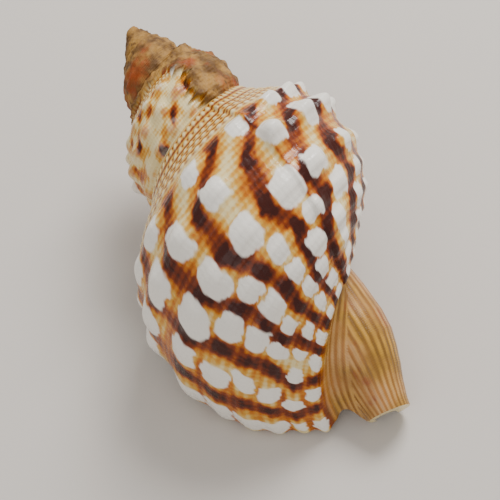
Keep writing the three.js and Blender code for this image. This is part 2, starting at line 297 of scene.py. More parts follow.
@dataclass(frozen=True)
class Relief:
    """What stands out of the plain whorl: cords, knobs, beads, the old lip and the worn crust.

    Attributes:
        cords: the spiral cords.
        knob_old_side: reach of a knob along its cord towards the apex, in degrees.
        knob_young_side: its reach towards the lip.
        break_back: angle of the old lip that crosses the last whorl.
        break_step: height of its step.
        low_knobs: height of the knobs that grew after it, against the older ones.
        dome_back: angle where the smoother older whorl starts.
        dome_calm: share of the knobs' height that is lost there.
        crust_back: angle where the crust of the spire ends.
        crust_depth: its thickness.
        crust_reach: how much further down it comes beside the suture, in degrees.
        crust_edge: place where that tongue ends.
        crust_lumps: height of its lumps.
        crust_ragged: how far its edge strays, in degrees.
        suture_fill: how thickly it fills the suture.
        bead_rows: places of the rows of beads beside the suture.
        bead_rise: height of a bead.
        bead_step: angle from one bead to the next.
        bead_width: half width of a row, in places.
        rim_back: angle over which the lip's outer edge is rounded.
        rim_round: how far it is rounded off.
    """

    cords: tuple[Cord, ...] = CORDS
    knob_old_side: float = 5.5
    knob_young_side: float = 8.5
    break_back: float = 112.0
    break_step: float = 1.1
    low_knobs: float = 0.42
    dome_back: float = 375.0
    dome_calm: float = 0.45
    crust_back: float = 472.0
    crust_depth: float = 4.8
    crust_reach: float = 150.0
    crust_edge: float = 1.8
    crust_lumps: float = 1.1
    crust_ragged: float = 9.0
    suture_fill: float = 8.0
    bead_rows: tuple[float, ...] = (0.45, 0.85, 1.25, 1.65, 2.05)
    bead_rise: float = 0.7
    bead_step: float = 5.2
    bead_width: float = 0.15
    rim_back: float = 2.2
    rim_round: float = 0.9

    def beside_knobs(self, cord: Cord, back: np.ndarray) -> tuple[np.ndarray, np.ndarray]:
        """Measures angles along a cord to the knobs on both sides.

        Args:
            cord: the cord.
            back: angles back from the lip.

        Returns:
            Angles past the next younger knob and short of the next older one, both positive.
        """
        older = np.arange(cord.knobs[-1] + KNOB_STEP, APEX_BACK, KNOB_STEP)
        angles = np.concatenate([[cord.knobs[0] - KNOB_STEP], cord.knobs, older])
        index = np.clip(np.searchsorted(angles, back), 1, len(angles) - 1)
        return np.abs(back - angles[index - 1]), np.abs(angles[index] - back)

    def knob_height(self, cord: Cord, back: np.ndarray) -> np.ndarray:
        """Height along a cord, from 0 between two knobs to 1 on a knob."""
        past, short = self.beside_knobs(cord, back)
        return np.maximum(bell(past / self.knob_old_side), bell(short / self.knob_young_side))

    def height(self, turn: np.ndarray, place: np.ndarray) -> np.ndarray:
        """Finds how far the surface stands out of the plain whorl, at the size of the lip.

        Args:
            turn: turns back from the lip, 0 or less.
            place: places along the lip's curve, one for each turn.

        Returns:
            The heights.
        """
        back = -turn * 360.0
        crust = self.crust(back, place)
        knob_size = self.knob_size(back) * (1.0 - 0.35 * crust)
        height = np.zeros_like(back)
        for cord in self.cords:
            knobs = self.knob_height(cord, back) * knob_size
            height += bell((place - cord.at) / cord.width) * (cord.rise + cord.knob * knobs)
        on_whorl = smooth(0.0, 0.8, place) * (1.0 - smooth(8.6, 9.6, place))
        past = back - self.break_back
        step = self.break_step * smooth(-1.0, 0.8, past) * (1.0 - smooth(3.0, 20.0, past))
        filled = self.suture_fill * bell((place - 0.3) / 1.1) * smooth(0.0, 40.0, back - self.crust_back)
        height = height * smooth(0.0, 1.0, place) + on_whorl * (step + self.crust_depth * crust)
        lumps = self.crust_lumps * crust * ripple(back / 6.0, place * 2.6)
        return height + filled + lumps + self.beads(back, place) * (1.0 - crust) - self.rim(back)

    def knob_size(self, back: np.ndarray) -> np.ndarray:
        """Finds how large the knobs are: low after the old lip, and calmer on the older whorl.

        Args:
            back: angles back from the lip.

        Returns:
            The size of the knobs there, against the largest.
        """
        old = smooth(self.break_back - 3.0, self.break_back + 3.0, back)
        dome = smooth(self.dome_back - 30.0, self.dome_back + 30.0, back)
        return (self.low_knobs + (1.0 - self.low_knobs) * old) * (1.0 - self.dome_calm * dome)

    def crust(self, back: np.ndarray, place: np.ndarray) -> np.ndarray:
        """Finds where the worn crust lies. It reaches further down beside the suture.

        Args:
            back: angles back from the lip.
            place: places along the lip's curve.

        Returns:
            1 on the crust, 0 beside it, and values in between on its edge.
        """
        edge = self.crust_back - self.crust_reach * (1.0 - smooth(0.0, self.crust_edge, place))
        edge = edge + self.crust_ragged * ripple(place * 3.0, place * 5.0 + back / 90.0)
        return smooth(-4.0, 2.0, back - edge)

    def beads(self, back: np.ndarray, place: np.ndarray) -> np.ndarray:
        """Finds the height of the rows of small beads beside the suture.

        Args:
            back: angles back from the lip.
            place: places along the lip's curve.

        Returns:
            The heights, at the size of the lip.
        """
        height = np.zeros_like(back)
        for row, at in enumerate(self.bead_rows):
            wave = 0.5 + 0.5 * np.cos(2.0 * math.pi * (back / self.bead_step + 0.31 * row))
            height += self.bead_rise * bell((place - at) / self.bead_width) * (0.35 + 0.65 * wave)
        return height

    def rim(self, back: np.ndarray) -> np.ndarray:
        """How far the lip's outer edge is rounded off."""
        part = np.clip(1.0 - back / self.rim_back, 0.0, 1.0)
        return self.rim_round * (1.0 - np.sqrt(1.0 - part * part))

    def scallop(self, place: np.ndarray) -> np.ndarray:
        """How far each cord pushes the lip's edge out, from 0 to 1."""
        return sum(bell((place - cord.at) / cord.width) for cord in self.cords)


def read_rows(items: bpy.types.bpy_prop_collection, value: str, width: int) -> np.ndarray:
    """Reads a value of every corner of a mesh.

    Args:
        items: the corners.
        value: name of the value.
        width: how many numbers it has.

    Returns:
        The numbers, with a row for each corner.
    """
    numbers = np.empty(len(items) * width, np.float32)
    items.foreach_get(value, numbers)
    return numbers.reshape(-1, width).astype(float)


def write_rows(items: bpy.types.bpy_prop_collection, value: str, rows: np.ndarray) -> None:
    """Writes a value of every corner of a mesh, from rows of numbers."""
    items.foreach_set(value, rows.astype(np.float32).ravel())


def shell_object(name: str, mesh: bpy.types.Mesh) -> bpy.types.Object:
    """Puts a mesh in the scene as an object at the origin.

    Args:
        name: name of the object.
        mesh: its mesh.

    Returns:
        The object.
    """
    piece = bpy.data.objects.new(name, mesh)
    bpy.context.scene.collection.objects.link(piece)
    return piece


def closed_sweep(
    name: str, corners: np.ndarray, growth_map: np.ndarray, region: Region
) -> bpy.types.Object:
    """Makes a closed solid from a sheet that is rolled into a ring and capped at both ends.

    Args:
        name: name of the new object.
        corners: points in rows around the ring and columns along the sweep.
        growth_map: turn and place of each point, in the same rows and columns.
        region: kind of surface that the solid leaves on the shell.

    Returns:
        The solid, with its growth map.
    """
    rows, columns = corners.shape[:2]
    corners = np.concatenate([corners, corners[:1]])
    growth_map = np.concatenate([growth_map, growth_map[-1:]])
    sheet = bmesh.new()
    bmesh.ops.create_grid(sheet, x_segments=columns - 1, y_segments=rows, size=1.0)
    mesh = bpy.data.meshes.new(name)
    sheet.to_mesh(mesh)
    sheet.free()
    flat = read_rows(mesh.vertices, "co", 3)
    column = np.rint((flat[:, 0] + 1.0) / 2.0 * (columns - 1)).astype(int)
    row = np.rint((flat[:, 1] + 1.0) / 2.0 * rows).astype(int)
    write_rows(mesh.vertices, "co", corners[row, column])
    corner_of = np.empty(len(mesh.loops), np.int32)
    mesh.loops.foreach_get("vertex_index", corner_of)
    places = growth_map[row, column][corner_of] + np.array([0.0, region.value])
    write_rows(mesh.uv_layers.new(name=GROWTH_MAP).uv, "vector", places)
    solid = bmesh.new()
    solid.from_mesh(mesh)
    bmesh.ops.remove_doubles(solid, verts=solid.verts, dist=1e-5)
    open_edges = [edge for edge in solid.edges if edge.is_boundary]
    caps = bmesh.ops.holes_fill(solid, edges=open_edges, sides=0)["faces"]
    layer = solid.loops.layers.uv[GROWTH_MAP]
    for cap in caps:
        for corner in cap.loops:
            corner[layer].uv = corner.link_loop_radial_next.link_loop_next[layer].uv
    bmesh.ops.triangulate(solid, faces=caps)
    bmesh.ops.recalc_face_normals(solid, faces=solid.faces)
    solid.to_mesh(mesh)
    solid.free()
    return shell_object(name, mesh)


def put_together(base: bpy.types.Object, tool: bpy.types.Object, cut: Cut) -> None:
    """Joins a solid to another or takes it away, and removes it.

    Args:
        base: the solid that is kept.
        tool: the solid that is joined or taken away.
        cut: what is done with it.
    """
    modifier = base.modifiers.new("cut", "BOOLEAN")
    modifier.operation = cut.value
    modifier.solver = "MANIFOLD"
    modifier.object = tool
    depsgraph = bpy.context.evaluated_depsgraph_get()
    mesh = bpy.data.meshes.new_from_object(base.evaluated_get(depsgraph))
    base.modifiers.clear()
    uncut = base.data
    base.data = mesh
    LOG.info("%s %s: %d faces", cut.value.lower(), tool.name, len(mesh.polygons))
    spare = tool.data
    bpy.data.objects.remove(tool)
    bpy.data.meshes.remove(spare)
    bpy.data.meshes.remove(uncut)


def plain_solid(solid: bmesh.types.BMesh, name: str, region: Region) -> bpy.types.Object:
    """Turns a closed shape into an object whose growth map holds one region.

    Args:
        solid: the shape, with an empty growth map. It is freed.
        name: name of the object.
        region: kind of surface that the solid leaves on the shell.

    Returns:
        The object.
    """
    layer = solid.loops.layers.uv[GROWTH_MAP]
    for face in solid.faces:
        for corner in face.loops:
            corner[layer].uv = (PLAIN_TURN, region.value + PLAIN_PLACE)
    bmesh.ops.recalc_face_normals(solid, faces=solid.faces)
    mesh = bpy.data.meshes.new(name)
    solid.to_mesh(mesh)
    solid.free()
    return shell_object(name, mesh)


def smooth_corners(body: bmesh.types.BMesh, corners: set[bmesh.types.BMVert]) -> None:
    """Moves corners half way towards the middle of their neighbours.

    Args:
        body: the shape that they belong to.
        corners: the corners that move.
    """
    bmesh.ops.smooth_vert(
        body, verts=list(corners), factor=0.5, use_axis_x=True, use_axis_y=True, use_axis_z=True
    )


@dataclass(frozen=True)
class Canal:
    """The canal, from its root in the last whorl to its broken tip.

    Attributes:
        outside: distance from the apex, left edge, right edge, underside and top of its sections.
        channel: distance from the apex, middle and half width of the channel in it.
        channel_depth: how far down the channel's tool reaches.
        channel_roof: height of the channel's round roof, against its half width.
        sides: corners of an outside section.
        sections: number of outside sections.
        channel_sections: number of sections of the channel.
        roof_corners: corners of its round roof.
        tip: reach of the broken tip along the axis.
        tip_middle: where the break is measured, across the axis.
        tip_tilt: slope of the break, in degrees.
    """

    outside: tuple[tuple[float, ...], ...] = (
        (108, -5, 11, -3, 10), (120, -9, 12.5, -9, 12), (132, -13, 12.8, -12, 13),
        (143, -15.1, 12.3, -13, 13.2), (150, -15.1, 11, -12.5, 12.8), (156, -15.1, 8.6, -11.5, 11.8),
        (161, -15.1, 6.2, -10.5, 10.8), (166, -15.1, 3.4, -9.2, 9.6), (172, -14.8, 0.6, -7.6, 8.2),
        (180, -14.6, -1.9, -6.2, 6.7),
    )
    channel: tuple[tuple[float, ...], ...] = (
        (128, -7, 4.2), (143, -9.2, 5), (156, -9.2, 4.8), (166, -9, 4), (182, -9, 3.4),
    )
    channel_depth: float = 40.0
    channel_roof: float = 0.9
    sides: int = 150
    sections: int = 100
    channel_sections: int = 40
    roof_corners: int = 17
    tip: float = 172.5
    tip_middle: float = -8.0
    tip_tilt: float = 14.0

    def between(self, along: np.ndarray, table: tuple[tuple[float, ...], ...]) -> np.ndarray:
        """Finds the sizes in a table at distances from the apex between its rows."""
        rows = np.array(table, float)
        return np.stack([np.interp(along, rows[:, 0], rows[:, part]) for part in range(1, rows.shape[1])], -1)

    def body(self) -> bpy.types.Object:
        """Makes the canal's outside: oval sections whose left edges line up with the lip.

        Returns:
            The solid.
        """
        along = np.linspace(self.outside[0][0], self.outside[-1][0], self.sections)
        left, right, under, top = self.between(along, self.outside).T
        angle = np.linspace(0.0, 2.0 * math.pi, self.sides, endpoint=False)[:, None]
        x = (left + right) / 2.0 + (right - left) / 2.0 * np.cos(angle)
        z = (top + under) / 2.0 + (top - under) / 2.0 * np.sin(angle)
        y = np.broadcast_to(-along, x.shape)
        around = np.broadcast_to(angle / (2.0 * math.pi) * MAP_ROUND, x.shape)
        growth_map = np.stack([y / CANAL_TURN, around], -1)
        return closed_sweep("canal", np.stack([x, y, z], -1), growth_map, Region.CANAL)

    def slot(self) -> bpy.types.Object:
        """Makes the channel: a slot with a round roof that opens downwards.

        Returns:
            The solid to take away.
        """
        along = np.linspace(self.channel[0][0], self.channel[-1][0], self.channel_sections)
        middle, half = self.between(along, self.channel).T
        angle = np.linspace(0.0, math.pi, self.roof_corners)[:, None]
        x = middle + half * np.cos(angle)
        z = self.channel_roof * half * np.sin(angle)
        x = np.concatenate([x, [middle - half], [middle + half]])
        z = np.concatenate([z, np.full((2, len(along)), -self.channel_depth)])
        y = np.broadcast_to(-along, x.shape)
        growth_map = np.stack([y / CANAL_TURN, np.full(x.shape, PLAIN_PLACE)], -1)
        return closed_sweep("channel", np.stack([x, y, z], -1), growth_map, Region.INSIDE)

    def past_the_tip(self) -> bpy.types.Object:
        """Makes a block of what lies past the broken end of the canal.

        Returns:
            The solid to take away.
        """
        width = 120.0
        length = 80.0
        block = bmesh.new()
        block.loops.layers.uv.new(GROWTH_MAP)
        placed = (
            Matrix.Translation((self.tip_middle, -self.tip, 0.0))
            @ Matrix.Rotation(-math.radians(self.tip_tilt), 4, "Z")
            @ Matrix.Translation((0.0, -length / 2.0, 0.0))
            @ Matrix.Diagonal((width, length, width, 1.0))
        )
        bmesh.ops.create_cube(block, size=1.0, matrix=placed)
        return plain_solid(block, "past_the_tip", Region.BROKEN)


@dataclass(frozen=True)
class Hollow:
    """The room inside the last whorl, from its opening at the lip to its closed end.

    Attributes:
        wall: thickness of the shell's wall.
        lip_edge: its thickness at the lip.
        thickens: turns over which it thickens from there.
        start: turn past the lip where the tool starts.
        back: angle back from the lip where the room ends.
        closes: turns over which it narrows towards its end.
        narrowest: its size at the end, against the open room.
        outer_places: places where its outer wall starts and ends on the lip's curve.
        outer_spacing: distance between rows there.
        pillar_side: its side along the pillar, as radius and distance from the apex.
        pillar_rows: number of rows there.
        inner_places: places of the whorl inside that its roof follows.
        inner_spacing: distance between rows there.
        inner_skin: size of that roof against the whorl inside.
        middle: the point that it narrows towards.
        steps: number of steps along it.
        crowding: how much closer these steps are at the lip.
    """

    wall: float = 3.0
    lip_edge: float = 2.2
    thickens: float = 0.08
    start: float = 0.035
    back: float = 300.0
    closes: float = 0.12
    narrowest: float = 0.35
    outer_places: tuple[float, float] = (0.55, 9.3)
    outer_spacing: float = 1.6
    pillar_side: tuple[tuple[float, float], ...] = ((11.0, 156.0), (9.6, 138.0), (9.0, 112.0))
    pillar_rows: int = 14
    inner_places: tuple[float, float] = (6.1, 8.6)
    inner_spacing: float = 2.0
    inner_skin: float = 1.02
    middle: tuple[float, float] = (34.0, 112.0)
    steps: int = 110
    crowding: float = 1.6

    def ring(self, growth: Growth, turns: np.ndarray) -> np.ndarray:
        """Finds the room's open section at turns, as radius and distance from the apex.

        Args:
            growth: the shell's growth.
            turns: the turns.

        Returns:
            The section's points in rows, with a column for each turn.
        """
        wall = self.lip_edge + (self.wall - self.lip_edge) * smooth(0.0, self.thickens, -turns)
        outer_places = growth.even_places(*self.outer_places, self.outer_spacing)
        outer = growth.point(outer_places)[:, None] - growth.normal(outer_places)[:, None] * wall[:, None]
        side = np.array(self.pillar_side)
        part = np.linspace(0.0, len(side) - 1.0, self.pillar_rows)
        pillar = np.stack([np.interp(part, np.arange(len(side)), side[:, axis]) for axis in (0, 1)], -1)
        inner_places = growth.even_places(*self.inner_places, self.inner_spacing)[::-1]
        inner = growth.point(inner_places) * self.inner_skin / growth.whorl_growth
        still = np.concatenate([pillar, inner])[:, None].repeat(len(turns), 1)
        return np.concatenate([outer, still])

    def room(self, growth: Growth) -> bpy.types.Object:
        """Makes the room as a solid.

        Args:
            growth: the shell's growth.

        Returns:
            The solid to take away.
        """
        end = -self.back / 360.0
        part = np.linspace(0.0, 1.0, self.steps)
        turns = self.start + (end - self.start) * part**self.crowding
        size = self.narrowest + (1.0 - self.narrowest) * smooth(end, end + self.closes, turns)
        middle = np.array(self.middle)
        ring = middle + (self.ring(growth, turns) - middle) * size[None, :, None]
        turn = np.broadcast_to(turns, ring.shape[:2])
        place = np.linspace(0.0, MAP_ROUND, len(ring))[:, None].repeat(len(turns), 1)
        return closed_sweep(
            "hollow", growth.around(ring, turn), np.stack([turn, place], -1), Region.INSIDE
        )


@dataclass(frozen=True)
class Stretch:
    """Half a turn of a whorl, and how finely it is made.

    Attributes:
        low: turn where it starts.
        columns: number of steps along it.
        coarse: distance between its rows, against the shell's grain.
        whole: whether its outer wall runs on to the end of the canal.
    """

    low: float
    columns: int
    coarse: float
    whole: bool = False


STRETCHES = (
    Stretch(-0.5, 204, 1.0, whole=True),
    Stretch(-1.0, 132, 1.35, whole=True),
    Stretch(-1.5, 120, 1.6),
    Stretch(-2.0, 90, 2.2),
    *(Stretch(-0.5 * half, 48, 3.4) for half in range(5, 10)),
)


@dataclass
class TritonShell:
    """The whole shell: its whorls, pillar, canal and hollow, and how it lies.

    Attributes:
        growth: how it grows.
        relief: what stands out of its whorls.
        canal: its canal.
        hollow: the room in its last whorl.
        buried_start: where a whorl's section starts, buried in the whorl before.
        buried_core: its inner corner inside the pillar, as radius and distance from the apex.
        spire_end: place where the outer wall of a spire whorl ends, buried in the whorl after.
        scallop_reach: how far each cord pushes the lip outwards.
        scallop_turns: turns over which it does.
        scallop_radius: smallest radius that its reach is turned into an angle with.
        core_gap: how far short of the canal's end the hidden side of a long whorl stops.
        pillar_taper: the pillar's radius for each millimetre from the apex.
        pillar_start: distance from the apex where the pillar starts.
        pillar_end: distance from the apex where it ends.
        roll: turn about the axis that lowers the lip to the ground, in degrees.
        pitch: turn that lowers the canal, in degrees.
        grain: distance between rows on the last half whorl, at the size of the lip.
        seam_rings: how many rings of corners are smoothed beside the canal's seam.
    """

    growth: Growth = field(default_factory=Growth)
    relief: Relief = field(default_factory=Relief)
    canal: Canal = field(default_factory=Canal)
    hollow: Hollow = field(default_factory=Hollow)
    buried_start: tuple[float, float] = (20.0, 64.0)
    buried_core: tuple[float, float] = (3.0, 62.0)
    spire_end: float = 6.3
    scallop_reach: float = 1.4
    scallop_turns: float = 0.06
    scallop_radius: float = 12.0
    core_gap: float = 4.0
    pillar_taper: float = 0.06
    pillar_start: float = 2.0
    pillar_end: float = 150.0
    roll: float = -16.38
    pitch: float = 15.3
    grain: float = 0.76
    seam_rings: int = 7

    def whorl(self, stretch: Stretch) -> bpy.types.Object:
        """Makes half a turn of a whorl as a solid, from its outer wall in to the pillar.

        Args:
            stretch: where it lies and how finely it is made.

        Returns:
            The solid.
        """
        growth = self.growth
        points = stretch.columns + 1
        end = float(growth.last) if stretch.whole else self.spire_end
        places = growth.even_places(0.0, end, self.grain * stretch.coarse)
        turn = np.linspace(stretch.low, stretch.low + 0.5, points)[None, :].repeat(len(places), 0)
        place = places[:, None].repeat(points, 1)
        wall = growth.point(place) + growth.normal(place) * self.relief.height(turn, place)[..., None]
        reach = self.relief.scallop(place) * self.scallop_reach * smooth(-self.scallop_turns, 0.0, turn)
        moved = turn + reach / (2.0 * math.pi * np.maximum(wall[..., 0], self.scallop_radius))
        along_end = growth.lip[-1][1] - self.core_gap if stretch.whole else growth.point(end)[1]
        hidden = [self.buried_start, (self.buried_core[0], along_end), self.buried_core]
        extra = [np.broadcast_to(np.array(point), (1, points, 2)) for point in hidden]
        section = np.concatenate([extra[0], wall, extra[1], extra[2]])
        turns = np.concatenate([turn[:1], moved, turn[:2]])
        map_place = np.concatenate([place[:1], place, place[-1:], place[-1:]])
        map_turn = np.concatenate([turn[:1], turn, turn[:2]])
        growth_map = np.stack([map_turn, map_place], -1)
        return closed_sweep(
            f"whorl_{abs(stretch.low):.1f}", growth.around(section, turns), growth_map, Region.WHORL
        )

    def pillar(self) -> bpy.types.Object:
        """Makes the pillar that the whorls wind around, a plain cone.

        Returns:
            The solid.
        """
        cone = bmesh.new()
        cone.loops.layers.uv.new(GROWTH_MAP)
        length = self.pillar_end - self.pillar_start
        middle = (0.0, -self.pillar_start - length / 2.0, 0.0)
        placed = Matrix.Translation(middle) @ Matrix.Rotation(math.pi / 2.0, 4, "X")
        bmesh.ops.create_cone(
            cone, cap_ends=True, segments=48, depth=length, matrix=placed,
            radius1=self.pillar_start * self.pillar_taper, radius2=self.pillar_end * self.pillar_taper,
        )
        return plain_solid(cone, "pillar", Region.INSIDE)

    def build(self) -> bpy.types.Object:
        """Builds the shell and lays it down where the frame's shell lies.

        Returns:
            The shell as one object.
        """
        first, *others = (self.whorl(stretch) for stretch in STRETCHES)
        for solid in [*others, self.pillar(), self.canal.body()]:
            put_together(first, solid, Cut.JOIN)
        for tool in (self.hollow.room(self.growth), self.canal.slot(), self.canal.past_the_tip()):
            put_together(first, tool, Cut.TAKE_AWAY)
        first.name = "triton_shell"
        first.data.name = "triton_shell"
        self.keep_largest(first.data)
        self.soften_canal_seam(first.data)
        self.lay_down(first.data)
        return first

    def keep_largest(self, mesh: bpy.types.Mesh) -> None:
        """Deletes the slivers that the joins leave, and keeps the largest body.

        Args:
            mesh: the shell's mesh.
        """
        body = bmesh.new()
        body.from_mesh(mesh)
        seen = set()
        groups = []
        for seed in body.verts:
            if seed in seen:
                continue
            group = [seed]
            seen.add(seed)
            for corner in group:
                for edge in corner.link_edges:
                    other = edge.other_vert(corner)
                    if other not in seen:
                        seen.add(other)
                        group.append(other)
            groups.append(group)
        groups.sort(key=len)
        for group in groups[:-1]:
            bmesh.ops.delete(body, geom=group, context="VERTS")
        LOG.info("kept 1 body of %d", len(groups))
        body.to_mesh(mesh)
        body.free()

    def soften_canal_seam(self, mesh: bpy.types.Mesh) -> None:
        """Rounds the valley where the canal leaves the last whorl.

        Args:
            mesh: the shell's mesh, with its growth map.
        """
        body = bmesh.new()
        body.from_mesh(mesh)
        near = self.canal_seam(body)
        for _ in range(self.seam_rings):
            smooth_corners(body, near)
            near |= {edge.other_vert(corner) for corner in near for edge in corner.link_edges}
        for _ in range(self.seam_rings):
            smooth_corners(body, near)
        body.to_mesh(mesh)
        body.free()

    def canal_seam(self, body: bmesh.types.BMesh) -> set[bmesh.types.BMVert]:
        """Finds the corners where a face of the canal meets a face of a whorl.

        Args:
            body: the shell.

        Returns:
            The corners.
        """
        layer = body.loops.layers.uv[GROWTH_MAP]
        canal_faces = {
            face for face in body.faces
            if Region.CANAL.value <= face.loops[0][layer].uv.y < Region.INSIDE.value
        }
        return {
            corner
            for edge in body.edges
            if len(edge.link_faces) == 2
            and (edge.link_faces[0] in canal_faces) != (edge.link_faces[1] in canal_faces)
            and min(face.loops[0][layer].uv.y for face in edge.link_faces) < REGION_REACH
            for corner in edge.verts
        }

    def lay_down(self, mesh: bpy.types.Mesh) -> None:
        """Leans the spire, rolls the shell to rest, and puts it in the frame's box.

        Args:
            mesh: the shell's mesh, in millimetres, which is turned into metres.
        """
        corners = read_rows(mesh.vertices, "co", 3)
        part = np.maximum(0.0, 1.0 + corners[:, 1] / self.growth.lean_from)
        corners[:, 0] += self.growth.lean * part * part
        rolled = Matrix.Rotation(math.radians(self.roll), 3, "Y")
        turned = Matrix.Rotation(math.radians(self.pitch), 3, "X") @ rolled
        corners = corners @ np.array(turned).T * MM
        low, high = (np.array(corner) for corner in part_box("shell"))
        own_low, own_high = corners.min(0), corners.max(0)
        fit = min(1.0, float(((high - low) / (own_high - own_low)).min()))
        bottom = np.append((low + high)[:2] / 2.0, low[2])
        own_bottom = np.append((own_low + own_high)[:2] / 2.0, own_low[2])
        corners = (corners - own_bottom) * fit + bottom
        LOG.info("fit to the frame's box: %.4f", fit)
        write_rows(mesh.vertices, "co", corners)
        mesh.update()


@dataclass(frozen=True)
class Markings:
    """Paints the masks of the shell's markings on its mesh, from each corner's turn and place.

    Attributes:
        relief: the cords, knobs, beads and crust that the markings follow.
        flame_half: half width of a flame, in degrees.
        halo_half: half width of the caramel around it.
        lip_stripes_from: angle where the stripes between the cords start, which run to the lip.
        old_lip_painted_shade: how dark the thin painted shade line just past the old lip's step is.
        dome_blotches: how much darker the blotches on the older whorl are than its cream.
        neck_place: place where the whorl's markings end and the neck of the canal starts.
        columella: part of the way around the canal where its porcelain side lies.
        columella_half: half width of that side.
    """

    relief: Relief = field(default_factory=Relief)
    flame_half: float = 4.3
    halo_half: float = 8.0
    lip_stripes_from: float = 40.0
    old_lip_painted_shade: float = 0.3
    dome_blotches: float = 0.3
    neck_place: float = 9.15
    columella: float = 0.68
    columella_half: float = 0.13

    def paint(self, mesh: bpy.types.Mesh) -> None:
        """Writes the marks and regions attributes.

        Args:
            mesh: the shell's mesh, with its growth map.
        """
        turn, place = read_rows(mesh.uv_layers[GROWTH_MAP].uv, "vector", 2).T
        back = -turn * 360.0
        for name, channels in ((MARKS, self.marks(back, place)), (REGIONS, self.regions(back, place))):
            layer = mesh.color_attributes.new(name, "FLOAT_COLOR", "CORNER")
            write_rows(layer.data, "color", np.stack([*channels, np.ones_like(back)], -1))

    def marks(self, back: np.ndarray, place: np.ndarray) -> tuple[np.ndarray, np.ndarray, np.ndarray]:
        """Finds the markings of the whorls.

        Args:
            back: angles back from the lip.
            place: places in the growth map, with their region's offset.

        Returns:
            How white, how dark and how much beaded band the surface is, each from 0 to about 1.
        """
        whorl = Region.WHORL.holds(place)
        dome = smooth(self.relief.dome_back - 25.0, self.relief.dome_back + 5.0, back)
        blotches = smooth(0.1, 0.7, ripple(back / 11.0, place * 1.3))
        white = self.white(back, place) * whorl * (1.0 - 0.7 * dome * smooth(2.4, 3.0, place))
        flame = self.flames(back, place) * whorl * (1.0 - dome * (1.0 - 0.8 * blotches))
        clouds = smooth(-0.6, 0.9, ripple(back / 7.0 + 2.0, place * 2.2))
        band = whorl * smooth(0.1, 0.3, place) * (1.0 - smooth(2.0, 2.4, place))
        return white, flame + self.dome_blotches * dome * clouds, band

    def regions(self, back: np.ndarray, place: np.ndarray) -> tuple[np.ndarray, np.ndarray, np.ndarray]:
        """Finds the kinds of surface.

        Args:
            back: angles back from the lip.
            place: places in the growth map, with their region's offset.

        Returns:
            Where the crust, the neck with the canal, and the porcelain inside lie, from 0 to 1.
        """
        whorl = Region.WHORL.holds(place)
        canal = Region.CANAL.holds(place)
        around = (place - Region.CANAL.value) / MAP_ROUND
        columella = canal * bell((around - self.columella) / self.columella_half)
        inside = np.maximum(Region.INSIDE.holds(place), columella)
        neck = np.maximum(canal, whorl * smooth(self.neck_place - 0.2, self.neck_place + 0.5, place))
        return self.relief.crust(back, place) * whorl, neck, inside

    def white(self, back: np.ndarray, place: np.ndarray) -> np.ndarray:
        """Finds how white the surface is: on the knobs of every cord and on the beads.

        Args:
            back: angles back from the lip.
            place: places along the lip's curve.

        Returns:
            1 where it is white and 0 where it isn't.
        """
        white = np.zeros_like(back)
        shift = ripple(back / 3.5, place * 3.0) + 0.8 * ripple(back / 1.7 + 1.0, place * 6.0)
        for cord in self.relief.cords:
            past, short = self.relief.beside_knobs(cord, back + 1.0)
            off = np.where(past < short, past, -short)
            own = np.round(back + 1.0 - off) + 40.0 * cord.at
            longer, wider, slant = (scatter(own * pace) for pace in (1.0, 2.0, 3.0))
            across = (place - cord.at + 0.05 * shift) / (cord.width * (1.0 + 0.5 * wider))
            slanted = off + 0.5 * shift + 2.5 * (slant - 0.5) * across
            along = slanted / (cord.spot * (0.64 + 0.5 * longer))
            outside = (np.abs(along) ** 4 + np.abs(across) ** 4) ** 0.25
            white = np.maximum(white, 1.0 - smooth(0.8, 1.08, outside))
        beads = self.relief.beads(back, place) / self.relief.bead_rise
        return np.maximum(white, smooth(0.35, 0.8, beads))

    def flames(self, back: np.ndarray, place: np.ndarray) -> np.ndarray:
        """Finds how dark the surface is: the flames, plus a thin painted shade line just past the old lip's
        step.

        Args:
            back: angles back from the lip.
            place: places along the lip's curve.

        Returns:
            Values from 0 for cream to about 1 for the darkest brown.
        """
        value = np.zeros_like(back)
        strength = np.interp(place, CORD_PLACES, [cord.dark for cord in self.relief.cords])
        on_cord = np.clip(self.relief.scallop(place) * 1.2, 0.0, 1.0)
        shift = 1.1 * ripple(back / 5.0, place * 2.1) + 0.7 * ripple(back / 2.1, place * 5.0)
        half_width = self.flame_half * (1.3 - 0.3 * on_cord)
        for mark in FLAMES:
            off = back - np.interp(place, CORD_PLACES, mark.backs)
            if mark is FLAMES[-1]:
                half = KNOB_STEP / 2.0
                off = np.where(off > half, (off + half) % KNOB_STEP - half, off)
            off = off + shift
            core = 0.45 * plateau(off / half_width) + 0.55 * bell(off / half_width)
            deep = 0.4 + 0.14 * mark.dark + 0.56 * on_cord**1.5 * strength * mark.dark
            halo = 0.4 * bell(off / self.halo_half)
            value = np.maximum(value, np.maximum(core * deep, halo))
        stripes = (1.0 - on_cord) * smooth(4.4, 5.0, place)
        stripes = stripes * (1.0 - smooth(self.lip_stripes_from - 12.0, self.lip_stripes_from, back))
        value = np.maximum(value, 0.6 * stripes)
        value = value + 0.17 * (1.0 - on_cord) * smooth(-0.9, 0.6, ripple(back / 8.0, place * 1.7))
        # A thin line of painted shade just past the old lip's step, added to the darkness
        old_lip_shade = bell((back - self.relief.break_back - 1.2) / 0.7) * (1.0 - smooth(5.8, 6.8, place))
        value = value + self.old_lip_painted_shade * old_lip_shade
        return value * smooth(2.0, 2.6, place) * (1.0 - smooth(9.1, 9.8, place))


